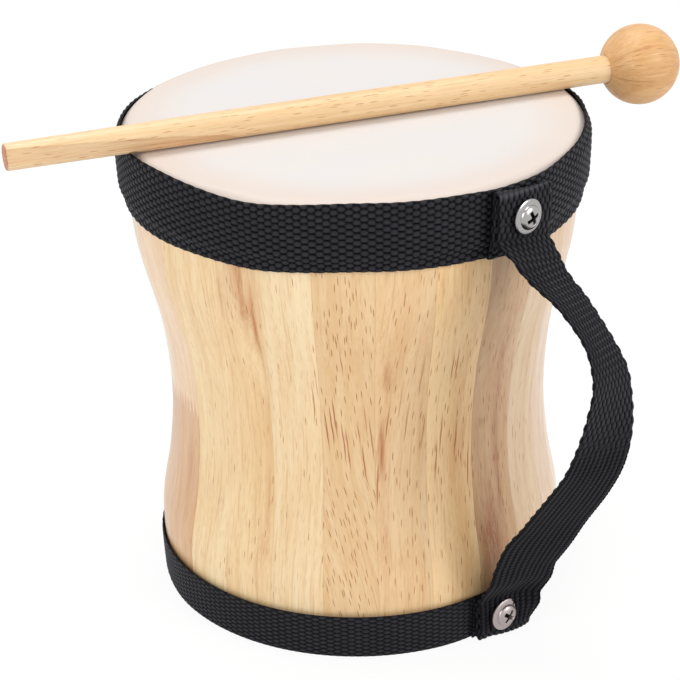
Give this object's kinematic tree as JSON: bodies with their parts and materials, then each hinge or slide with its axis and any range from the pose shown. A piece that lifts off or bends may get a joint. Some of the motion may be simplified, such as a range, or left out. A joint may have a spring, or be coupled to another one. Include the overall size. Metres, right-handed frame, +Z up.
{
  "type": "hand drum",
  "caption": "Small waisted hand drum with a stave shell, rawhide head, webbing bands, a side handle and a ball-ended beater lying on the head.",
  "frame": {"origin": "on the surface the drum stands on, under the middle of the whole outline with the beater lying on the head", "axes": "+Z up along the drum's axis, +X along the long way of the outline towards the beater's ball, the handle towards +X and -Y"},
  "size_m": [0.2084, 0.168, 0.1737],
  "materials": {
    "shell_wood": "satin",
    "head_skin": "matte",
    "webbing": "matte",
    "screw_steel": "polished",
    "beater_wood": "satin"
  },
  "bodies": {
    "drum": {"stave_01": "shell_wood", "stave_02": "shell_wood", "stave_03": "shell_wood", "stave_04": "shell_wood", "stave_05": "shell_wood", "stave_06": "shell_wood", "stave_07": "shell_wood", "stave_08": "shell_wood", "stave_09": "shell_wood", "stave_10": "shell_wood", "stave_11": "shell_wood", "stave_12": "shell_wood", "stave_13": "shell_wood", "stave_14": "shell_wood", "stave_15": "shell_wood", "stave_16": "shell_wood", "stave_17": "shell_wood", "stave_18": "shell_wood", "stave_19": "shell_wood", "stave_20": "shell_wood", "stave_21": "shell_wood", "stave_22": "shell_wood", "stave_23": "shell_wood", "stave_24": "shell_wood", "head_skin": "head_skin", "rim_band": "webbing", "base_band": "webbing", "handle_strap": "webbing", "upper_screw": "screw_steel", "lower_screw": "screw_steel"},
    "beater": {"beater_stick": "beater_wood", "beater_ball": "beater_wood"}
  },
  "joints": [
    {"name": "beater_lift", "type": "slide", "parent": "drum", "child": "beater", "axis": [0, 0, 1], "range_m": [0, 0.06]}
  ]
}
